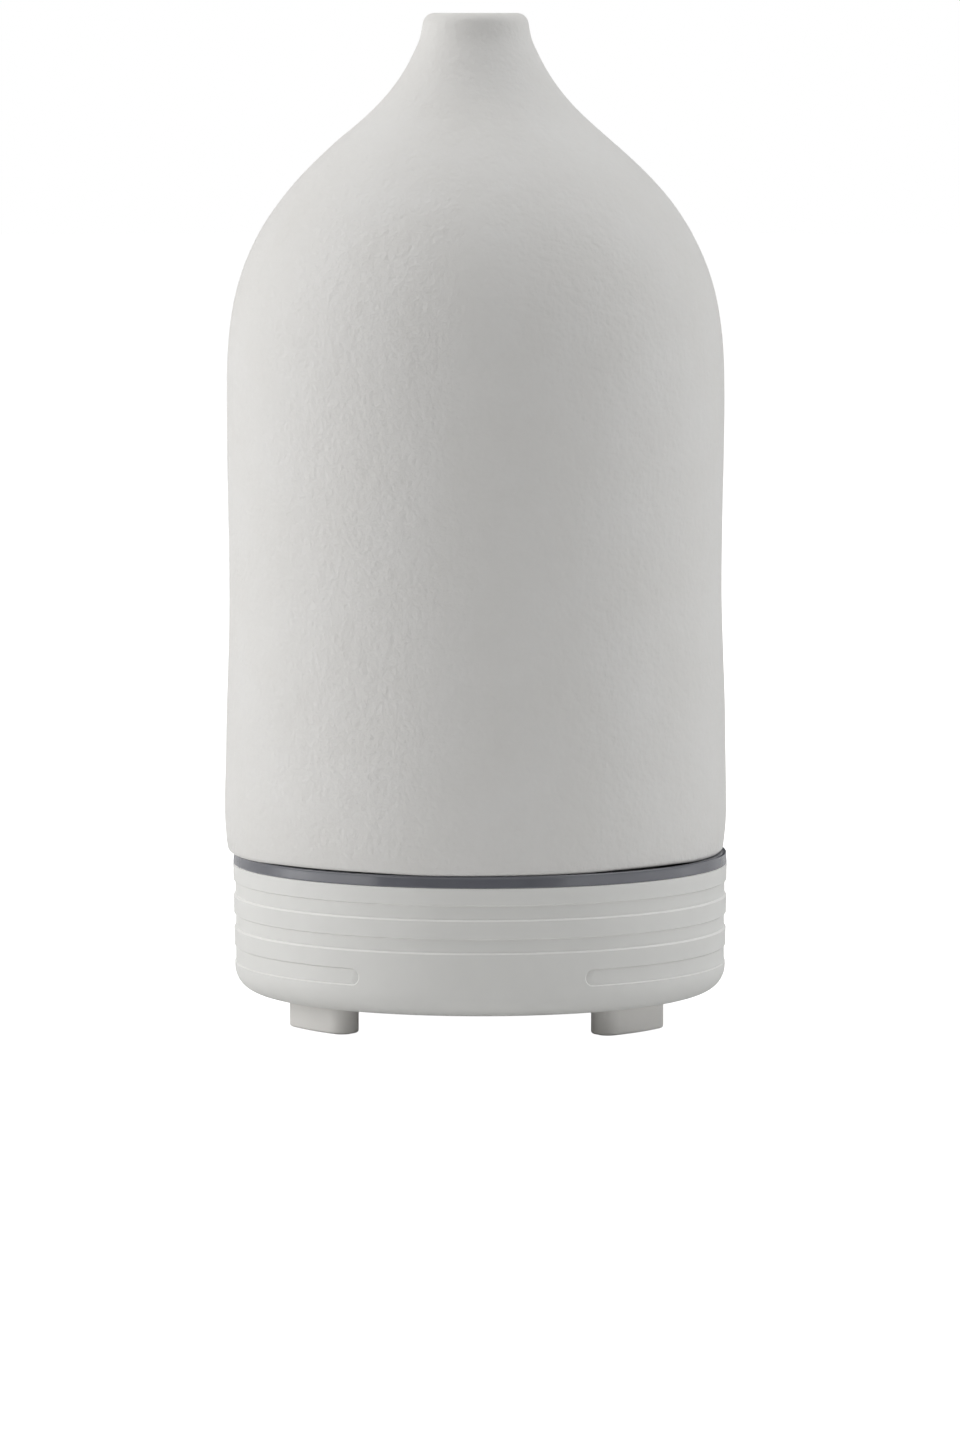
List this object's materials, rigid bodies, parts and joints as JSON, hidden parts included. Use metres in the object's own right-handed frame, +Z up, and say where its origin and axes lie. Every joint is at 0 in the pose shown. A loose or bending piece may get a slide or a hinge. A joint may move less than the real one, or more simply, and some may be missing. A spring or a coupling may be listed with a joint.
{
  "type": "essential oil diffuser",
  "caption": "Bottle-shaped matt ceramic cover over a water cup on a round moulded base with a smoky light ring and long side keys.",
  "frame": {"origin": "on the table, at the middle of the base", "axes": "+Z up, along the body's round axis; the front, between the two keys, faces -Y; the power inlet is at the back, +Y"},
  "size_m": [0.0914, 0.0914, 0.1827],
  "materials": {
    "ceramic": "matt unglazed porcelain",
    "base_plastic": "fine satin moulding",
    "foot_plastic": "fine satin moulding",
    "smoky_plastic": "polished, translucent",
    "cup_plastic": "smooth moulding",
    "key_plastic": "fine satin moulding",
    "silicone": "soft, matt",
    "foam": "closed-cell foam",
    "screw_steel": "zinc plated",
    "disc_metal": "plated ceramic disc",
    "board": "green solder mask",
    "black_plastic": "smooth moulding",
    "sink_aluminium": "extruded, satin",
    "ferrite": "sintered",
    "can_aluminium": "sleeved can",
    "socket_nylon": "natural nylon",
    "led_resin": "clear over phosphor",
    "sintered_bronze": "oil-filled sintered bronze",
    "copper_winding": "enamelled winding",
    "inlet_metal": "nickel plated",
    "switch_steel": "pressed cover",
    "lead_insulation": "flexible insulation",
    "label_film": "blank film"
  },
  "bodies": {
    "base": {"base_shell": "base_plastic", "bottom_cover": "foot_plastic", "foot_pads": "silicone", "cover_screws": "screw_steel", "rating_label": "label_film", "light_ring": "smoky_plastic", "reservoir_seal": "silicone", "reservoir": "cup_plastic", "transducer_disc": "disc_metal", "transducer_gasket": "silicone", "transducer_retainer": "cup_plastic", "retainer_screws": "screw_steel", "main_board": "board", "board_screws": "screw_steel", "driver_transistor": "black_plastic", "heat_sink": "sink_aluminium", "power_inductor": "ferrite", "capacitors": "can_aluminium", "wire_sockets": "socket_nylon", "led_board": "board", "leds": "led_resin", "fan_frame": "black_plastic", "fan_bearing": "sintered_bronze", "fan_stator": "copper_winding", "fan_screws": "screw_steel", "air_duct": "cup_plastic", "duct_seal": "foam", "dc_jack": "black_plastic", "dc_jack_pin": "inlet_metal", "tact_switches": "switch_steel", "switch_boards": "board", "power_leads": "lead_insulation", "fan_leads": "lead_insulation", "transducer_leads": "lead_insulation", "led_leads": "lead_insulation", "switch_leads": "lead_insulation"},
    "cover": {"ceramic_cover": "ceramic"},
    "lid": {"inner_lid": "cup_plastic"},
    "fan_rotor": {"fan_impeller": "black_plastic", "fan_shaft": "screw_steel"},
    "mist_key": {"mist_button": "key_plastic", "mist_switch_plunger": "black_plastic"},
    "light_key": {"light_button": "key_plastic", "light_switch_plunger": "black_plastic"}
  },
  "joints": [
    {"name": "cover_lift", "type": "slide", "parent": "base", "child": "cover", "axis": [0, 0, 1], "range_m": [0, 0.16]},
    {"name": "lid_lift", "type": "slide", "parent": "base", "child": "lid", "axis": [0, 0, 1], "range_m": [0, 0.045]},
    {"name": "mist_key_press", "type": "slide", "parent": "base", "child": "mist_key", "axis": [-0.8776, 0.4795, 0], "range_m": [0, 0.0003], "stiffness_N_per_m": 3000},
    {"name": "light_key_press", "type": "slide", "parent": "base", "child": "light_key", "axis": [0.8776, 0.4795, 0], "range_m": [0, 0.0003], "stiffness_N_per_m": 3000},
    {"name": "fan_spin", "type": "hinge", "parent": "base", "child": "fan_rotor", "pos_m": [0, 0.014, 0.013], "axis": [0, 0, 1], "continuous": true}
  ]
}
